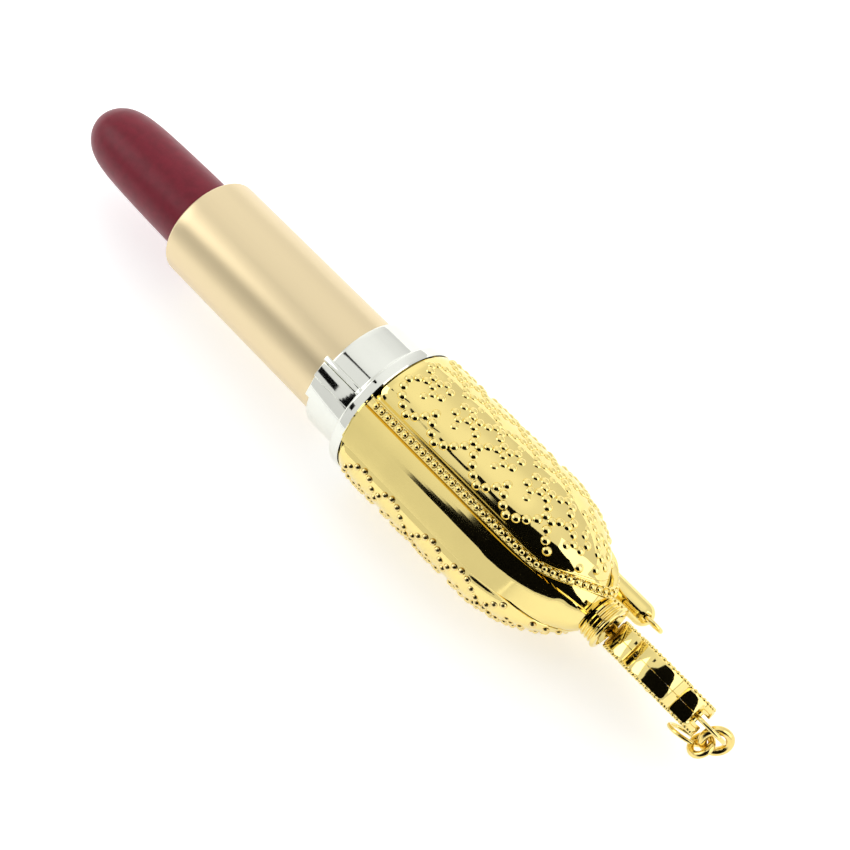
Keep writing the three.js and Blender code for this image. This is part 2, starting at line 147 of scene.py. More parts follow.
GOLD = material("gold_plate", (0.885, 0.725, 0.275), 0.055, 1.0, vary=0.02, rough_vary=0.3, bump=0.015, bump_scale=420, bump_dist=0.00001)
GOLD_SOFT = material("gold_plate_soft", (0.84, 0.67, 0.29), 0.24, 1.0, vary=0.02, bump=0.015, bump_scale=420, bump_dist=0.00001)
GOLD_CHAIN = material("gold_chain", (0.86, 0.67, 0.24), 0.16, 1.0, vary=0.05, bump=0.06, bump_scale=2600)
SATIN = material("satin_champagne", (0.785, 0.648, 0.402), 0.34, 1.0, vary=0.012, stretch=(0.03, 1, 1), rough_scale=500, tone_scale=500, rough_vary=0.08, bump=0.02, bump_scale=5200, bump_dist=0.000003)
CHROME = material("bright_chrome", (0.80, 0.81, 0.74), 0.06, 1.0, vary=0.015, bump=0.015, bump_scale=500, bump_dist=0.00001)
LIP = material("lip_wax", (0.212, 0.0090, 0.025), 0.36, 0.0, vary=0.10, tone_scale=700, sparkle=(0.38, 0.05, 0.08), sparkle_scale=6500, sss=0.05, spec=0.25, bump=0.08, bump_scale=2600, bump_dist=0.00003, rough_scale=400, rough_vary=0.15)
WHITE = material("moulded_white", (0.76, 0.76, 0.72), 0.45, vary=0.03, bump=0.1)
GREY = material("moulded_grey", (0.60, 0.60, 0.58), 0.5, vary=0.03, bump=0.1)
RUBBER = material("black_rubber", (0.02, 0.02, 0.02), 0.7, vary=0.1, bump=0.2)
STEEL = material("turned_steel", (0.55, 0.56, 0.57), 0.35, 1.0, vary=0.05, stretch=(12, 1, 1), bump=0.2)
BRASS = material("rivet_brass", (0.78, 0.58, 0.25), 0.3, 1.0, vary=0.05, bump=0.1)

# ------------------------------------------------------------- mesh helpers
def P(x, r, psi):
    return ((x - SHIFT) / 1000, r * math.sin(D(psi)) / 1000, (AXIS_Z + r * math.cos(D(psi))) / 1000)

def piece(name, verts, faces, mat, body, nodes=(), sharp=32, merge=1e-7):
    me = bpy.data.meshes.new(name)
    me.from_pydata([tuple(v) for v in verts], [], [tuple(f) for f in faces])
    bm = bmesh.new(); bm.from_mesh(me)
    bmesh.ops.remove_doubles(bm, verts=bm.verts, dist=merge)
    bmesh.ops.dissolve_degenerate(bm, edges=bm.edges, dist=1e-8)
    bmesh.ops.recalc_face_normals(bm, faces=bm.faces)
    bm.to_mesh(me); bm.free()
    me.polygons.foreach_set("use_smooth", [True] * len(me.polygons))
    me.set_sharp_from_angle(angle=D(sharp))
    me.materials.append(mat)
    o = bpy.data.objects.new(name, me)
    scene.collection.objects.link(o)
    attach(o, body)
    if nodes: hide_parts(*nodes)
    return o

def lathe(profile, seg=128):
    """Closed solid of revolution; profile is [station, radius], a closed loop unless it ends on the axis."""
    verts, faces, rings = [], [], []
    for x, r in profile:
        if r < 1e-6:
            rings.append([len(verts)]); verts.append(P(x, 0, 0))
        else:
            rings.append(list(range(len(verts), len(verts) + seg)))
            verts += [P(x, r, 360.0 * k / seg) for k in range(seg)]
    closed = all(r > 1e-6 for _, r in profile)
    pairs = list(zip(rings, rings[1:])) + ([(rings[-1], rings[0])] if closed else [])
    for a, b in pairs:
        for k in range(seg):
            j = (k + 1) % seg
            if len(a) == 1 and len(b) == 1: continue
            if len(a) == 1: faces.append((a[0], b[k], b[j]))
            elif len(b) == 1: faces.append((a[k], b[0], a[j]))
            else: faces.append((a[k], b[k], b[j], a[j]))
    return verts, faces

def grid_slab(outer, inner):
    """Closed shell between two point grids [rows][cols]."""
    R, C = len(outer), len(outer[0])
    verts = [p for row in outer for p in row] + [p for row in inner for p in row]
    n = R * C
    i_ = lambda k, i, j: k * n + i * C + j
    faces = []
    for i in range(R - 1):
        for j in range(C - 1):
            faces.append((i_(0, i, j), i_(0, i, j + 1), i_(0, i + 1, j + 1), i_(0, i + 1, j)))
            faces.append((i_(1, i, j), i_(1, i + 1, j), i_(1, i + 1, j + 1), i_(1, i, j + 1)))
    for j in range(C - 1):
        faces.append((i_(0, 0, j), i_(1, 0, j), i_(1, 0, j + 1), i_(0, 0, j + 1)))
        faces.append((i_(0, R - 1, j), i_(0, R - 1, j + 1), i_(1, R - 1, j + 1), i_(1, R - 1, j)))
    for i in range(R - 1):
        faces.append((i_(0, i, 0), i_(0, i + 1, 0), i_(1, i + 1, 0), i_(1, i, 0)))
        faces.append((i_(0, i, C - 1), i_(1, i, C - 1), i_(1, i + 1, C - 1), i_(0, i + 1, C - 1)))
    return verts, faces

def torus(c, normal, R, r, seg=72, sides=20, arc=1.0, flat=1.0):
    """Ring in row metres from millimetre radii."""
    n = Vector(normal).normalized()
    a = n.orthogonal().normalized(); b = n.cross(a)
    verts, faces = [], []
    for i in range(seg):
        t = 2 * math.pi * i / seg
        d = a * math.cos(t) + b * math.sin(t)
        for j in range(sides):
            s = 2 * math.pi * j / sides
            v = Vector(c) + (d * (R + r * math.cos(s)) + n * r * flat * math.sin(s)) / 1000
            verts.append(tuple(v))
    for i in range(seg):
        for j in range(sides):
            faces.append((i * sides + j, ((i + 1) % seg) * sides + j, ((i + 1) % seg) * sides + (j + 1) % sides, i * sides + (j + 1) % sides))
    return verts, faces

BEAD_U, BEAD_V = 12, 7
def bead(verts, faces, c, n, r, squash=0.8):
    """Small rounded bead on a surface: c and n in row metres, r in mm."""
    n = Vector(n).normalized(); a = n.orthogonal().normalized(); b = n.cross(a); c = Vector(c)
    base = len(verts)
    verts.append(tuple(c + n * r * squash / 1000))
    for i in range(1, BEAD_V):
        t = math.pi * i / BEAD_V
        for j in range(BEAD_U):
            s = 2 * math.pi * j / BEAD_U
            verts.append(tuple(c + (n * squash * math.cos(t) + (a * math.cos(s) + b * math.sin(s)) * math.sin(t)) * r / 1000))
    verts.append(tuple(c - n * r * squash / 1000))
    last = len(verts) - 1
    for j in range(BEAD_U):
        k = (j + 1) % BEAD_U
        faces.append((base, base + 1 + j, base + 1 + k))
        for i in range(BEAD_V - 2):
            faces.append((base + 1 + i * BEAD_U + j, base + 1 + (i + 1) * BEAD_U + j, base + 1 + (i + 1) * BEAD_U + k, base + 1 + i * BEAD_U + k))
        faces.append((base + 1 + (BEAD_V - 2) * BEAD_U + j, last, base + 1 + (BEAD_V - 2) * BEAD_U + k))

BUMP_RINGS, BUMP_SEG = 9, 18
def bump(verts, faces, c, n, r, h):
    """Rounded stud, a flattened cap with steep sides: c on the surface, n its normal, r and h in mm."""
    n = Vector(n).normalized(); a = n.orthogonal().normalized(); b = n.cross(a); c = Vector(c)
    base = len(verts)
    verts.append(tuple(c + n * (h - 0.012) / 1000))
    for i in range(1, BUMP_RINGS + 1):
        q = i / BUMP_RINGS
        z = h * (math.sqrt(1 - 0.9216 * q * q) - 0.28) / 0.72 - 0.012 - 0.02 * q * q
        for j in range(BUMP_SEG):
            t = 2 * math.pi * j / BUMP_SEG
            verts.append(tuple(c + (n * z + (a * math.cos(t) + b * math.sin(t)) * r * q) / 1000))
    verts.append(tuple(c - n * 0.12 / 1000)); last = len(verts) - 1
    for j in range(BUMP_SEG):
        k = (j + 1) % BUMP_SEG
        faces.append((base, base + 1 + j, base + 1 + k))
        for i in range(BUMP_RINGS - 1):
            faces.append((base + 1 + i * BUMP_SEG + j, base + 1 + (i + 1) * BUMP_SEG + j, base + 1 + (i + 1) * BUMP_SEG + k, base + 1 + i * BUMP_SEG + k))
        faces.append((base + 1 + (BUMP_RINGS - 1) * BUMP_SEG + j, last, base + 1 + (BUMP_RINGS - 1) * BUMP_SEG + k))

def spline(pts, x):
    xs = [p[0] for p in pts]; ys = [p[1] for p in pts]
    # monotone cubic through the points
    n = len(xs)
    d = [(ys[i + 1] - ys[i]) / (xs[i + 1] - xs[i]) for i in range(n - 1)]
    m = [d[0]] + [0 if d[i - 1] * d[i] <= 0 else 2 * d[i - 1] * d[i] / (d[i - 1] + d[i]) for i in range(1, n - 1)] + [d[-1]]
    x = min(max(x, xs[0]), xs[-1])
    i = min(max(k for k in range(n) if xs[k] <= x), n - 2)
    h = xs[i + 1] - xs[i]; t = (x - xs[i]) / h
    return (2*t**3 - 3*t*t + 1) * ys[i] + (t**3 - 2*t*t + t) * h * m[i] + (-2*t**3 + 3*t*t) * ys[i+1] + (t**3 - t*t) * h * m[i+1]

# ---------------------------------------------------------- case surface
CASE_TOP = 42.1
SHAPE = [(42, 1), (60, 1), (67, .995), (69.5, .965), (72.2, .9), (74.9, .79), (77.2, .66), (78.8, .53), (80.2, .41), (81.3, .30)]
shape = lambda x: spline(SHAPE, x)
XS = np.linspace(CASE_TOP, 81.2, 700)
SH = np.array([shape(x) for x in XS])
S_ARC = np.concatenate([[0], np.cumsum(np.hypot(np.diff(XS), np.diff(SH * 11.1)))]) + CASE_TOP
x_of_s = lambda s: float(np.interp(s, S_ARC, XS))
s_of_x = lambda x: float(np.interp(x, XS, S_ARC))
FRONT, BACK, STRAP, REAR = 43.0, -137.0, -48.5, 131.5

def front_half(x):
    return 62.5 if x <= 71.5 else 62.5 * math.sqrt(max(0.0, 1 - ((x - 71.5) / 8.1) ** 2))
def back_half(x):
    return 69.9 if x <= 70 else 69.9 * math.sqrt(max(0.0, 1 - ((x - 70) / 11.1) ** 2))

# Flower pattern of beads, as (degrees across, station) for its half towards the sleeve; the other half mirrors it.
LEFT_PETAL = [(1.9, 49.8), (-4.9, 49.1), (-10.3, 48.2), (-13.7, 47.05), (-10.3, 45.8), (-5.7, 44.75), (0.0, 43.85), (6.9, 43.5),
              (12.3, 44.2), (15.7, 45.2), (15.7, 46.4), (4.6, 46.8), (10.8, 47.3), (13.7, 48.4)]
RIGHT_PETAL = [(22.0, 45.3), (24.8, 44.1), (29.9, 43.5), (35.0, 43.8), (38.6, 44.8), (41.0, 45.9), (42.2, 47.05), (41.4, 48.2),
               (37.2, 49.1), (32.5, 49.8), (21.6, 46.5), (25.9, 47.2), (23.1, 48.4), (31.6, 46.8)]
FLOWER_X, FLOWER_PITCH, COLUMN_MIRROR = 49.8, 13.65, 45.0

def flower_beads():
    """Every bead of the front pattern as (station, degrees), before the panel's outline trims it."""
    out = []
    for row in range(3):
        for a, x in LEFT_PETAL + RIGHT_PETAL:
            for xx in {x, 2 * FLOWER_X - x}:
                x_ = xx + row * FLOWER_PITCH
                if x_ > 70: x_ = 70 + (x_ - 70) * (0.97 if row == 2 else 1)
                for aa in (a, 2 * COLUMN_MIRROR - a):
                    out.append((x_, aa))
    return out
FLOWER_BEADS = flower_beads()

PUFF = 0.17

def pillow_base(x, v, h, x1, R):
    side = (1 - abs(v)) * math.radians(h) * R * shape(x)
    tail = (x1 - x) * 1.25
    d = max(0.0, min(side, tail, 12))
    edge = 1 - math.exp(-(d / 1.15) ** 1.5)
    head = 1 - 0.6 * math.exp(-((x - CASE_TOP) / 0.55) ** 2)
    return (R - 0.62 * (1 - edge) - 0.35 * (1 - head)) * shape(x)

def bead_list(psi0, half, x1, R, floor):
    out = []
    for x, a in FLOWER_BEADS:
        if x > x1 - 0.75 or x < CASE_TOP + 0.8: continue
        h = half(x); rel = (a - FRONT) * (1.1 if floor else 1.0)
        lim = h - math.degrees(0.95 / (11.0 * shape(x)))
        if abs(rel) > lim + 2.2: continue
        rel = max(-lim, min(lim, rel))
        r = pillow_base(x, rel / h, h, x1, R)
        p = Vector(P(x, r, psi0 + rel))
        if floor and p.z < 0.00040: continue
        if any((p - q[0]).length < 0.00095 for q in out): continue
        out.append((p, x, rel))
    return out

def pillow(name, psi0, half, x1, R, nodes, rows=230, cols=190, floor=False):
    beads = bead_list(psi0, half, x1, R, floor)
    outer, inner = [], []
    xs, hs, vs = [], [], []
    for i in range(rows + 1):
        u = i / rows
        x = CASE_TOP + 0.05 + (x1 - CASE_TOP - 0.05) * (1 - (1 - u) ** 1.7)
        h = max(half(x), 0.8)
        ro, ri = [], []
        for j in range(cols + 1):
            v = 2 * j / cols - 1
            v = math.copysign(1 - (1 - abs(v)) ** 1.2, v) if abs(v) < 1 else v
            ro.append((x, psi0 + v * h, pillow_base(x, v, h, x1, R), v, h)); ri.append(P(x, 9.95 * shape(x), psi0 + v * h))
        outer.append(ro); inner.append(ri)
    flat = [q for row in outer for q in row]
    pts = np.array([P(q[0], q[2], q[1]) for q in flat])
    # each petal is a soft cushion
    C = np.array([((ca - FRONT), cx + row * FLOWER_PITCH, wa) for row in range(3) for cx in (46.7, 2 * FLOWER_X - 46.7)
                  for ca, wa in ((1.5, 3.0), (31.8, 2.3), (58.2, 2.3), (88.5, 3.0))])
    rel = np.array([q[1] - psi0 for q in flat]); X_ = np.array([q[0] for q in flat]); R_ = 10.9 * np.interp(X_, XS, SH)
    q2 = ((np.radians(rel[:, None] - C[None, :, 0]) * R_[:, None]) / C[None, :, 2]) ** 2 + ((X_[:, None] - C[None, :, 1]) / 3.35) ** 2
    lift = PUFF * (np.clip(1 - q2, 0, 1) ** 2).sum(1)
    for k, q in enumerate(flat):
        side = (1 - abs(q[3])) * math.radians(q[4]) * 11.0 * shape(q[0])
        fade = min(1, max(0, side / 1.6)) * min(1, max(0, (x1 - q[0]) / 2.0)) * min(1, max(0, (q[0] - CASE_TOP) / 1.0))
        flat[k] = P(q[0], q[2] + lift[k] * fade, q[1])
        if floor and flat[k][2] < 0.00003: flat[k] = (flat[k][0], flat[k][1], 0.00003)
    n = cols + 1
    outer = [flat[k * n:(k + 1) * n] for k in range(rows + 1)]
    if floor: inner = [[(p[0], p[1], max(p[2], 0.0004)) for p in row] for row in inner]
    v, f = grid_slab(outer, inner)
    o = piece(name, v, f, GOLD, "root", nodes, sharp=60)
    verts, faces = [], []
    for p, x, rel in beads:
        if floor: bump(verts, faces, p, surf_normal(x, psi0 + rel), 0.56, 0.44)
        else: bump(verts, faces, p, surf_normal(x, psi0 + rel), 0.67, 0.36)
    piece(name + "_beads", verts, faces, GOLD_SOFT if floor else GOLD, "root", sharp=80)
    return o

def surf_normal(x, psi):
    e = 0.15
    sl = (shape(x + e) - shape(x - e)) * 11.0 / (2 * e)
    out = Vector(P(x, 1, psi)) - Vector(P(x, 0, psi)); out.normalize()
    return (out + Vector((-sl, 0, 0))).normalized()

front = pillow("front_pillow_panel", FRONT, front_half, 79.55, 10.78, ["front_panel"])
back = pillow("back_pillow_panel", BACK, back_half, 81.0, 10.78, ["back_panel"], floor=True)

# Rail: a raised ridge in a long U with two rows of small beads on it.
def rail_path(n):
    hi = lambda x: 67.2 if x <= 71.5 else 67.2 * math.sqrt(max(0, 1 - ((x - 71.5) / 9.3) ** 2))
    raw = []
    for k in range(2001):
        u = -1 + 2 * k / 2000; q = 1 - abs(u)
        x = CASE_TOP + 0.1 + (80.8 - CASE_TOP - 0.1) * math.sin(q * math.pi / 2)
        raw.append((x, FRONT + math.copysign(hi(x), u)))
    pts = np.array([P(x, 10.9 * shape(x), s) for x, s in raw])
    d = np.concatenate([[0], np.cumsum(np.linalg.norm(np.diff(pts, axis=0), axis=1))])
    t = np.linspace(0, d[-1], n)
    X = np.interp(t, d, [r[0] for r in raw]); S = np.interp(t, d, [r[1] for r in raw])
    return X, S, d[-1] * 1000
def frames(X, S):
    pts = [Vector(P(x, 10.15 * shape(x), s)) for x, s in zip(X, S)]
    out = []
    for k, p in enumerate(pts):
        a, b = pts[max(0, k - 1)], pts[min(len(pts) - 1, k + 1)]
        t = (b - a).normalized(); n = surf_normal(X[k], S[k]); w = t.cross(n).normalized()
        out.append((p, n, w))
    return out
X, S, L = rail_path(240)
SEC = [(-0.70, 0.0), (-0.70, 0.80), (-0.64, 0.90), (-0.55, 0.90), (-0.48, 0.78), (-0.30, 0.66), (0, 0.64), (0.30, 0.66), (0.48, 0.78), (0.55, 0.84), (0.64, 0.84), (0.70, 0.76), (0.70, 0.0)]
verts, faces = [], []
fr = frames(X, S)
for p, n, w in fr:
    for a, h in SEC: verts.append(tuple(p + (w * a + n * h) / 1000))
m_ = len(SEC)
for k in range(len(fr) - 1):
    for j in range(m_):
        faces.append((k * m_ + j, k * m_ + (j + 1) % m_, (k + 1) * m_ + (j + 1) % m_, (k + 1) * m_ + j))
faces.append(tuple(range(m_))); faces.append(tuple(reversed(range((len(fr) - 1) * m_, len(fr) * m_))))
piece("beaded_rail", verts, faces, GOLD, "root", ["bead_rail"], sharp=40)
nb = int(L / 1.13)
X, S, L = rail_path(nb)
verts, faces = [], []
for k, (p, n, w) in enumerate(frames(X, S)):
    if k in (0, nb - 1): continue
    bead(verts, faces, p + n * 0.72 / 1000, n, 0.42, 0.62)
X, S, L = rail_path(nb * 2 - 1)
for k, (p, n, w) in enumerate(frames(X, S)):
    if k % 2 == 0 or k in (1, 2 * nb - 3): continue
    for side in (-1, 1): bead(verts, faces, p + (w * side * 0.45 + n * 0.80) / 1000, n, 0.19, 0.8)
piece("rail_beads", verts, faces, GOLD, "root", sharp=80)

# Smooth straps: two flat facets meeting in a crease.
def strap_grid(psi0, mirror):
    cuts = [-13.6, 4.4, 19.0]
    outer, inner = [], []
    rows = 110
    for i in range(rows + 1):
        x = CASE_TOP + (81.1 - CASE_TOP) * (1 - (1 - i / rows) ** 1.6)
        k = 1 if x <= 70 else 1 + 0.1 * (x - 70) / 11
        ro, ri = [], []
        pts = []
        Rr = 11.08 * shape(x)
        for a, b, n in ((cuts[0] - 1.5, cuts[0], 2), (cuts[0], cuts[1], 10), (cuts[1], cuts[2], 10), (cuts[2], cuts[2] + 1.2, 2)):
            for q in range(n):
                t = q / n
                pa, pb = a * k, b * k
                ra = Rr if a > cuts[0] - 1 else Rr - 0.5
                rb = Rr if b < cuts[2] + 1 else Rr - 0.5
                ya, za = ra * math.sin(D(pa)), ra * math.cos(D(pa)); yb, zb = rb * math.sin(D(pb)), rb * math.cos(D(pb))
                y, z = ya + (yb - ya) * t, za + (zb - za) * t
                if a == cuts[1]: y, z = y + 0.13 * 4 * t * (1 - t) * math.sin(D((pa + pb) / 2)), z + 0.13 * 4 * t * (1 - t) * math.cos(D((pa + pb) / 2))
                pts.append((math.degrees(math.atan2(y, z)), math.hypot(y, z)))
        pts.append(((cuts[2] + 1.2) * k, Rr - 0.5))
        for ang, r in pts:
            ang = ang * mirror
            ro.append(P(x, r, psi0 + ang)); ri.append(P(x, 9.95 * shape(x), psi0 + ang))
        outer.append(ro); inner.append(ri)
    return outer, inner
o, i = strap_grid(STRAP, 1)
v, f = grid_slab(o, i)
piece("front_strap_smooth", v, f, GOLD, "root", ["front_strap"], sharp=12)
o, i = strap_grid(REAR, 1)
v, f = grid_slab(o, i)
rear = piece("rear_strap_smooth", v, f, GOLD, "root", ["rear_strap"], sharp=12)

# The rear strap's lug, a smooth round-ended bar with a curved eye for the loop.
LUG_R, LUG_RAD, LUG_PSI, LUG_X0, LUG_X1 = 1.75, 7.7, 126.0, 70.5, 86.2
prof = [(LUG_X0, 0.0)]
for k in range(1, 13): prof.append((LUG_X0 + LUG_R - LUG_R * math.cos(math.pi / 2 * k / 12), LUG_R * math.sin(math.pi / 2 * k / 12)))
for k in range(0, 14): prof.append((LUG_X1 - LUG_R + LUG_R * math.sin(math.pi / 2 * k / 13), LUG_R * math.cos(math.pi / 2 * k / 13) if k < 13 else 0.0))
v, f = lathe(prof, 48)
off = Vector(P(SHIFT, LUG_RAD, LUG_PSI)) - Vector(P(SHIFT, 0, 0))
v = [tuple(Vector(p) + off) for p in v]
lug = piece("rear_strap_lug", v, f, GOLD, "root", sharp=60)
dm = Vector((0, math.sin(D(72)), math.cos(D(72)))); dn = Vector((0, -math.cos(D(72)), math.sin(D(72))))
EYE = Vector(P(84.9, LUG_RAD, LUG_PSI))
cutter_v, cutter_f = torus(EYE + Vector((1.45, 0, 0)) / 1000, dm, 1.45, 0.62, 40, 14)
cutter = piece("eye_cutter", cutter_v, cutter_f, GOLD, "root")
mod = lug.modifiers.new("eye", "BOOLEAN"); mod.operation = "DIFFERENCE"; mod.solver = "EXACT"; mod.object = cutter
bpy.context.view_layer.objects.active = lug
bpy.context.view_layer.update()
dg = bpy.context.evaluated_depsgraph_get()
new = bpy.data.meshes.new_from_object(lug.evaluated_get(dg))
lug.modifiers.clear(); lug.data = new
bpy.data.objects.remove(cutter)

# Core under the panels, as a smooth turned shell.
core = [(CASE_TOP + 0.1, 9.65), (CASE_TOP + 0.05, 9.8)] + [(x, 9.93 * shape(x)) for x in np.linspace(CASE_TOP + 0.2, 81.2, 46)] + [(81.3, 2.6), (81.3, 1.35), (72, 1.35), (71.2, 8.0), (70, 8.8), (50.2, 8.8), (50.2, 9.65)]
v, f = lathe(core, 96)
piece("case_core_shell", v, f, GOLD, "root", ["case_core"], sharp=35)

# ---------------------------------------------------------- turned pieces
def arc_pts(cx, cr, r, a0, a1, n):
    return [(cx + r * math.cos(D(a0 + (a1 - a0) * k / n)), cr + r * math.sin(D(a0 + (a1 - a0) * k / n))) for k in range(n + 1)]

BUL = [(-26.4, 0.0), (-26.28, 1.0), (-25.9, 2.1), (-25.2, 3.15), (-24.1, 4.1), (-22.6, 4.85), (-20.5, 5.35), (-17.5, 5.65), (-13, 5.83), (-5, 5.98), (1.4, 6.03)]
def bullet_profile():
    out = []
    pts = np.array(BUL)
    t = np.concatenate([[0], np.cumsum(np.hypot(*np.diff(pts, axis=0).T))])
    for q in np.linspace(0, t[-1], 90):
        x = spline(list(zip(t, pts[:, 0])), q); r = spline(list(zip(t, pts[:, 1])), q)
        out.append((x, max(0.0, r)))
    out[0] = (-26.4, 0.0)
    return out + [(1.6, 5.5), (11, 5.5), (11, 0)]
v, f = lathe(bullet_profile(), 128)
piece("lip_bullet", v, f, LIP, "carriage", ["bullet"], sharp=50)

sl = [(44, 7.65), (44, 8.25)] + [(x, 8.25) for x in np.linspace(40, 2, 12)] + arc_pts(0.55, 7.72, 0.53, 90, 180, 8) + arc_pts(0.55, 7.72, 0.42, 190, 260, 6) + [(1.3, 7.35), (1.3, 7.65)]
v, f = lathe(sl, 160)
piece("satin_sleeve", v, f, SATIN, "sleeve", ["sleeve"], sharp=40)

# Collar: ring, flange and skirt as one turned piece; flat lands stand on it.
prof = ([(33.4, 8.5), (33.4, 8.85)] + arc_pts(33.85, 8.85, 0.45, 180, 90, 6) + [(x, 9.3) for x in np.linspace(34.5, 39.2, 6)]
        + arc_pts(39.3, 10.0, 0.7, -90, 0, 8) + [(40.02, 10.1)] + arc_pts(40.5, 10.27, 0.48, 180, 90, 8) + [(41.15, 10.75), (41.70, 10.74)]
        + [(41.88, 10.60), (41.9, 9.35), (49.6, 9.35), (49.6, 8.5)])
v, f = lathe(prof, 160)
piece("chrome_collar", v, f, CHROME, "root", ["collar"], sharp=35)

def land(name, psi, x0, x1, w0, w1, top, base, mat, bevel=0.12):
    """Flat raised land: a bar whose face is flat, standing on the turned surface."""
    bm = bmesh.new()
    def block(xa, xb, ya, yb, za, zb):
        vs = [bm.verts.new(((x - SHIFT) / 1000, y / 1000, z / 1000)) for x in (xa, xb) for y in (ya, yb) for z in (za, zb)]
        for q in ((0, 1, 3, 2), (4, 6, 7, 5), (0, 4, 5, 1), (2, 3, 7, 6), (0, 2, 6, 4), (1, 5, 7, 3)):
            bm.faces.new([vs[i] for i in q])
    block(x0, x1, w0, w1, base, top)
    bmesh.ops.recalc_face_normals(bm, faces=bm.faces)
    bmesh.ops.bevel(bm, geom=list(bm.edges), offset=bevel / 1000, segments=4, profile=0.5, affect="EDGES")
    bmesh.ops.rotate(bm, verts=bm.verts, cent=(0, 0, 0), matrix=Matrix.Rotation(-D(psi), 3, "X"))
    bmesh.ops.translate(bm, verts=bm.verts, vec=(0, 0, AXIS_Z / 1000))
    verts = [tuple(v.co) for v in bm.verts]; bm.verts.index_update()
    faces = [tuple(v.index for v in f.verts) for f in bm.faces]
    bm.free()
    return piece(name, verts, faces, mat, "root", sharp=30)
for tag, psi in (("front", STRAP), ("rear", REAR)):
    land(f"collar_{tag}_facet_wide", psi - 4.0, 33.15, 40.2, -1.75, 1.45, 9.66, 8.8, CHROME)
    land(f"collar_{tag}_facet_narrow", psi + 12.0, 32.95, 40.2, -1.25, 1.2, 9.70, 8.8, CHROME)
    land(f"collar_{tag}_rib", psi + 22.2, 32.75, 41.3, -0.40, 0.40, 9.92, 8.8, CHROME, 0.13)
    land(f"flange_{tag}_rib", psi + 22.4, 39.7, 41.75, -0.55, 0.55, 10.72, 9.4, CHROME, 0.16)

fin = [(81.45, 1.35), (81.45, 2.95)] + [(81.7, 3.18), (81.85, 3.18), (82.0, 2.92), (82.12, 2.92), (82.3, 3.2), (82.45, 3.2), (82.6, 2.92), (82.72, 2.92), (82.9, 3.22), (83.02, 3.22), (83.15, 3.0), (83.28, 3.02)] + arc_pts(83.7, 3.12, 0.34, 150, -10, 10) + [(84.08, 2.72), (83.6, 2.6), (82.75, 2.4), (82.6, 1.35)]
v, f = lathe(fin, 96)
piece("finial_grooved_cup", v, f, GOLD, "root", ["finial_cup"], sharp=28)
neck = [(69.6, 0), (69.6, 1.2), (69.95, 1.2), (69.95, 0.6), (83.6, 0.6), (83.75, 0.8), (83.95, 0.86), (86.1, 0.86), (86.25, 0.7), (88.6, 0.7), (88.6, 0)]
v, f = lathe(neck, 40)
piece("neck_pin", v, f, GOLD, "charm", ["neck_post"], sharp=35)

# ---------------------------------------------------------------- the charm
CX, LR, LO, HT = 92.7, 4.3, 3.75, 2.05
def clover(inset, n=30):
    r = LR - inset; pts = []
    half = math.pi / 4 + math.asin(min(1, LO * math.sqrt(0.5) / r))
    for q in range(4):
        c = q * math.pi / 2
        for k in range(n):
            t = c - half + 2 * half * k / n
            pts.append((LO * math.cos(c) + r * math.cos(t), LO * math.sin(c) + r * math.sin(t)))
    return pts
dx = Vector((1, 0, 0))
def C3(a, b, t):
    """Charm point: a along the case, b across the charm's breadth, t through its thickness; millimetres from its centre."""
    return Vector(((CX - SHIFT) / 1000, 0, AXIS_Z / 1000)) + (dx * a + dn * b + dm * t) / 1000
def charm_shell(name, sign, node):
    rings = [(0.05, 0.015), (0.0, 0.06), (0.0, HT - 0.42), (0.06, HT - 0.2), (0.22, HT - 0.08), (0.42, HT - 0.05), (0.95, HT - 0.05), (1.1, HT - 0.16), (1.25, HT - 0.2), (1.9, HT - 0.14), (2.6, HT - 0.02), (3.1, HT + 0.02)]
    outl = [clover(i) if i < 3.2 else clover(3.1) for i, _ in rings]
    n = len(outl[0]); verts, faces = [], []
    for (ins, h), o in zip(rings, outl):
        for a, b in o: verts.append(tuple(C3(a, b, sign * h)))
    for k in range(len(rings) - 1):
        for j in range(n):
            faces.append((k * n + j, k * n + (j + 1) % n, (k + 1) * n + (j + 1) % n, (k + 1) * n + j))
    verts.append(tuple(C3(0, 0, sign * 0.015))); c0 = len(verts) - 1
    verts.append(tuple(C3(0, 0, sign * (HT + 0.02)))); c1 = len(verts) - 1
    for j in range(n):
        faces.append((c0, (j + 1) % n, j)); faces.append((c1, (len(rings) - 1) * n + j, (len(rings) - 1) * n + (j + 1) % n))
    o = piece(name, verts, faces, GOLD, "charm", [node], sharp=30)
    # slot for the jump ring, room for the neck and the end pin
    cut_v, cut_f = [], []
    def drum(a0, b0, r, h0, h1, seg=40):
        base = len(cut_v)
        for h in (h0, h1):
            for k in range(seg): cut_v.append(tuple(C3(a0 + r * math.cos(2 * math.pi * k / seg), b0 + r * math.sin(2 * math.pi * k / seg), h)))
        for k in range(seg): cut_f.append((base + k, base + (k + 1) % seg, base + seg + (k + 1) % seg, base + seg + k))
        cut_f.append(tuple(range(base + seg - 1, base - 1, -1))); cut_f.append(tuple(range(base + seg, base + 2 * seg)))
    drum(99.9 - CX, 0, 3.3, -0.75, 0.75)
    cutter = piece("slot_cutter", cut_v, cut_f, GOLD, "charm")
    cv, cf = lathe([(80, 0), (80, 1.05), (89.2, 1.05), (89.2, 0)], 32)
    cutter2 = piece("neck_cutter", cv, cf, GOLD, "charm")
    for c in (cutter, cutter2):
        mod = o.modifiers.new("cut", "BOOLEAN"); mod.operation = "DIFFERENCE"; mod.solver = "EXACT"; mod.object = c
    bpy.context.view_layer.update()
    dg = bpy.context.evaluated_depsgraph_get()
    new = bpy.data.meshes.new_from_object(o.evaluated_get(dg))
    o.modifiers.clear(); o.data = new
    bpy.data.objects.remove(cutter); bpy.data.objects.remove(cutter2)
    return o
charm_shell("charm_upper_shell", 1, "charm_front_shell")
charm_shell("charm_lower_shell", -1, "charm_back_shell")

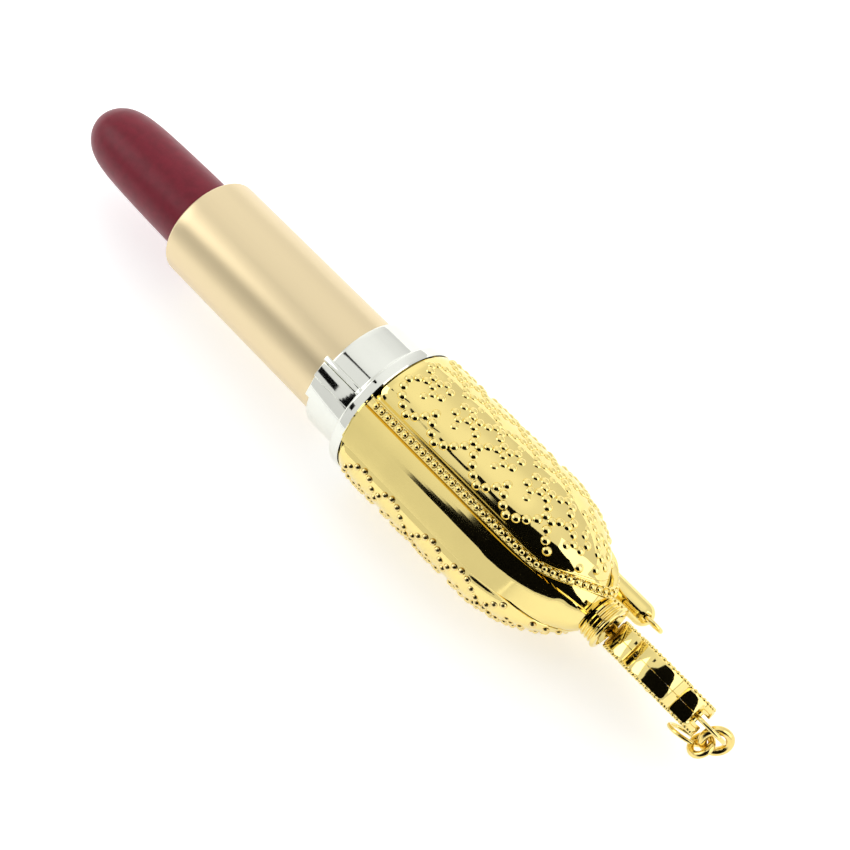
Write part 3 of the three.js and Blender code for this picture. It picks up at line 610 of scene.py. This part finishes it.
def resample(pts, step):
    pts = np.array(pts + [pts[0]]); d = np.concatenate([[0], np.cumsum(np.linalg.norm(np.diff(pts, axis=0), axis=1))])
    n = int(d[-1] / step); t = np.linspace(0, d[-1], n, endpoint=False)
    return np.c_[np.interp(t, d, pts[:, 0]), np.interp(t, d, pts[:, 1])]
for tag, sign in (("upper", 1), ("lower", -1)):
    verts, faces = [], []
    for a, b in resample(clover(0.42), 0.78): bead(verts, faces, C3(a, b, sign * (HT - 0.02)), dm * sign, 0.33, 0.85)
    for q in range(4):
        c = q * math.pi / 2
        for k in range(9):
            t = c + 2 * math.pi * k / 9
            bead(verts, faces, C3(LO * math.cos(c) * 0.93 + 1.35 * math.cos(t), LO * math.sin(c) * 0.93 + 1.35 * math.sin(t), sign * (HT - 0.02)), dm * sign, 0.3, 0.8)
    bead(verts, faces, C3(0, 0, sign * (HT + 0.0)), dm * sign, 0.6, 0.6)
    piece(f"charm_{tag}_beads", verts, faces, GOLD, "charm", sharp=80)

# ---------------------------------------------------------- rings and links
def at(x, m, n): return Vector(((x - SHIFT) / 1000, 0, AXIS_Z / 1000)) + (dm * m + dn * n) / 1000
def vec(x, m, n): return dx * x + dm * m + dn * n
JR = 99.3 + 2.8 - 0.3 - 0.5 - 0.1
v, f = torus(at(JR, 0, 0), dm, 2.8, 0.3, 96, 16)
piece("jump_ring_wire", v, f, GOLD, "jump_ring", ["jump_ring"], sharp=60)
v, f = torus(at(102.979, -0.472, -2.708), vec(0.332, -0.236, 0.397), 1.75, 0.6, 64, 20)
piece("chain_link_wide", v, f, GOLD_CHAIN, "link_large", ["chain_link_large"], sharp=60)
v, f = torus(at(102.006, -2.226, -3.146), vec(-0.802, 0.163, 0.9), 1.5, 0.5, 64, 20)
piece("chain_link_round", v, f, GOLD_CHAIN, "link_small", ["chain_link_small"], sharp=60)
v, f = torus(at(99.522, -2.775, -4.494), vec(-0.281, 1.445, 0.305), 2.3, 0.3, 96, 16)
piece("chain_end_wire", v, f, GOLD, "end_ring", ["chain_end_ring"], sharp=60)
LM, LN = 7.7 * math.cos(D(54)), -7.7 * math.sin(D(54))
v, f = torus(at(84.9 + 1.45, LM, LN), dm, 1.45, 0.38, 64, 16)
piece("lug_loop_wire", v, f, GOLD, "lug_ring", ["lug_ring"], sharp=60)

# -------------------------------------------- CAD nodes that keep their shape
for node, mat in (("elevator_cup", WHITE), ("guide_tube", WHITE), ("spiral_cam_tube", GREY), ("friction_ring", RUBBER), ("base_weight", STEEL),
                  ("swivel_rivet", BRASS), ("charm_ring_pin", GOLD), ("charm_rivet_upper", GOLD), ("charm_rivet_lower", GOLD)):
    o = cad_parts[node]
    if not o.material_slots: o.data.materials.append(mat)
    for s in o.material_slots: s.material = mat

# ------------------------------------------------------------------ studio
def stage_plane(name, centre, normal, w, h, mat, up=(1, 0, 0)):
    n = Vector(normal).normalized(); a = Vector(up); a = (a - n * a.dot(n)).normalized(); b = n.cross(a); c = Vector(centre)
    me = bpy.data.meshes.new(name)
    me.from_pydata([tuple(c + a * w / 2 * i + b * h / 2 * j) for i, j in ((-1, -1), (1, -1), (1, 1), (-1, 1))], [], [(0, 1, 2, 3)])
    me.materials.append(mat)
    o = bpy.data.objects.new(name, me); scene.collection.objects.link(o)
    return o
floor_mat = bpy.data.materials.new("floor"); floor_mat.use_nodes = True
fb = floor_mat.node_tree.nodes["Principled BSDF"]
fb.inputs["Emission Color"].default_value = (1, 1, 1, 1); fb.inputs["Emission Strength"].default_value = 0.50
fb.inputs["Base Color"].default_value = (0.93, 0.93, 0.93, 1); fb.inputs["Roughness"].default_value = 0.9; fb.inputs["Specular IOR Level"].default_value = 0.1
stage_plane("floor", (0, 0, -0.0001), (0, 0, 1), 6, 6, floor_mat)
black = bpy.data.materials.new("flag"); black.use_nodes = True
bb = black.node_tree.nodes["Principled BSDF"]
bb.inputs["Base Color"].default_value = (0.004, 0.004, 0.004, 1); bb.inputs["Roughness"].default_value = 1.0; bb.inputs["Specular IOR Level"].default_value = 0.0

def around(phi, lean, dist):
    """Point at angle phi round the long axis from the camera's side, leaning along the axis."""
    n0 = (TO_CAM - dx * TO_CAM.dot(dx)).normalized(); m0 = dx.cross(n0) * -1
    if m0.y < 0: m0 = -m0
    d = (n0 * math.cos(D(phi)) + m0 * math.sin(D(phi))) * math.cos(D(lean)) + dx * math.sin(D(lean))
    return Vector((0, 0, 0.011)) + d * dist, -d
DARK = [[(-54, -19.5), (-46, -18.6), (-34, -16.5), (-24, -15), (-10, -15), (-6, -19), (-2, -20.6), (3, -19.5), (4, -15), (8, -1), (18, 7),
         (28, 33), (20, 60), (-8, 76), (-42, 76), (-60, 60), (-65, 30), (-62, 0)],
        [(-43, -40), (-33, -40), (-33, -23), (-43, -23)], [(9, -31), (15, -31), (13.5, -23), (10.5, -23)],
        [(-56, -75), (-53, -75), (-53, -34), (-56, -34)]]
def inside(px, py, poly):
    hit = False
    for (x0, y0), (x1_, y1) in zip(poly, poly[1:] + poly[:1]):
        if (y0 > py) != (y1 > py) and px < (x1_ - x0) * (py - y0) / (y1 - y0) + x0: hit = not hit
    return hit
def dark_dome(name, poly, dist, step=1.0):
    verts, faces, seen = [], [], {}
    def vid(a, b):
        if (a, b) not in seen:
            c, n = around(a * step, b * step, dist); seen[(a, b)] = len(verts); verts.append(tuple(c))
        return seen[(a, b)]
    for a in range(int(-120 / step), int(121 / step)):
        for b in range(int(-80 / step), int(81 / step)):
            if inside((a + .5) * step, (b + .5) * step, poly):
                faces.append((vid(a, b), vid(a + 1, b), vid(a + 1, b + 1), vid(a, b + 1)))
    me = bpy.data.meshes.new(name); me.from_pydata(verts, [], faces); me.materials.append(black)
    o = bpy.data.objects.new(name, me); scene.collection.objects.link(o)
for k, poly in enumerate(DARK): dark_dome(f"dark_room_{k}", poly, 1.1, 1.0 if k == 0 else 0.5)

world = bpy.data.worlds.new("studio"); scene.world = world; world.use_nodes = True
wn = world.node_tree
wb = wn.nodes["Background"]
wtc = wn.nodes.new("ShaderNodeTexCoord"); wsep = wn.nodes.new("ShaderNodeSeparateXYZ"); wr = wn.nodes.new("ShaderNodeValToRGB")
wn.links.new(wtc.outputs["Generated"], wsep.inputs[0]); wn.links.new(wsep.outputs["Z"], wr.inputs["Fac"])
wr.color_ramp.elements[0].position = 0.0; wr.color_ramp.elements[0].color = (0.80, 0.80, 0.80, 1)
wr.color_ramp.elements[1].position = 0.75; wr.color_ramp.elements[1].color = (0.92, 0.92, 0.92, 1)
e_ = wr.color_ramp.elements.new(0.35); e_.color = (0.83, 0.83, 0.83, 1)
def lobe(phi, lean, inner_deg, outer_deg, gain, base):
    c, n = around(phi, lean, 1.0)
    dot = wn.nodes.new("ShaderNodeVectorMath"); dot.operation = "DOT_PRODUCT"; dot.inputs[1].default_value = tuple(-n)
    wn.links.new(wtc.outputs["Generated"], dot.inputs[0])
    r_ = wn.nodes.new("ShaderNodeMapRange"); r_.interpolation_type = "SMOOTHSTEP"
    r_.inputs["From Min"].default_value = math.cos(D(outer_deg)); r_.inputs["From Max"].default_value = math.cos(D(inner_deg))
    r_.inputs["To Min"].default_value = 0.0; r_.inputs["To Max"].default_value = gain
    wn.links.new(dot.outputs["Value"], r_.inputs["Value"])
    add = wn.nodes.new("ShaderNodeMath"); add.operation = "ADD"
    wn.links.new(base, add.inputs[0]); wn.links.new(r_.outputs["Result"], add.inputs[1])
    return add.outputs[0]
bw = wn.nodes.new("ShaderNodeRGBToBW"); wn.links.new(wr.outputs["Color"], bw.inputs[0])
level = lobe(44, -18, 4, 34, 0.14, bw.outputs[0])
level = lobe(84, -50, 4, 34, 0.32, level)
wn.links.new(level, wb.inputs["Color"])
wb.inputs["Strength"].default_value = 1.0
def area(name, phi, lean, dist, size, power, colour=(1, 1, 1)):
    c, n = around(phi, lean, dist)
    L = bpy.data.lights.new(name, "AREA"); L.shape = "SQUARE"; L.size = size; L.energy = power; L.color = colour
    o = bpy.data.objects.new(name, L); scene.collection.objects.link(o)
    o.matrix_world = Matrix.Translation(c) @ (-n).to_track_quat("Z", "Y").to_matrix().to_4x4()
area("key", 45, 55, 1.4, 1.3, 5.2)
area("strip", -16, -50, 0.5, 0.26, 0.32)
scene.view_settings.view_transform = "Standard"
scene.view_settings.look = "None"
scene.view_settings.exposure = 0.0
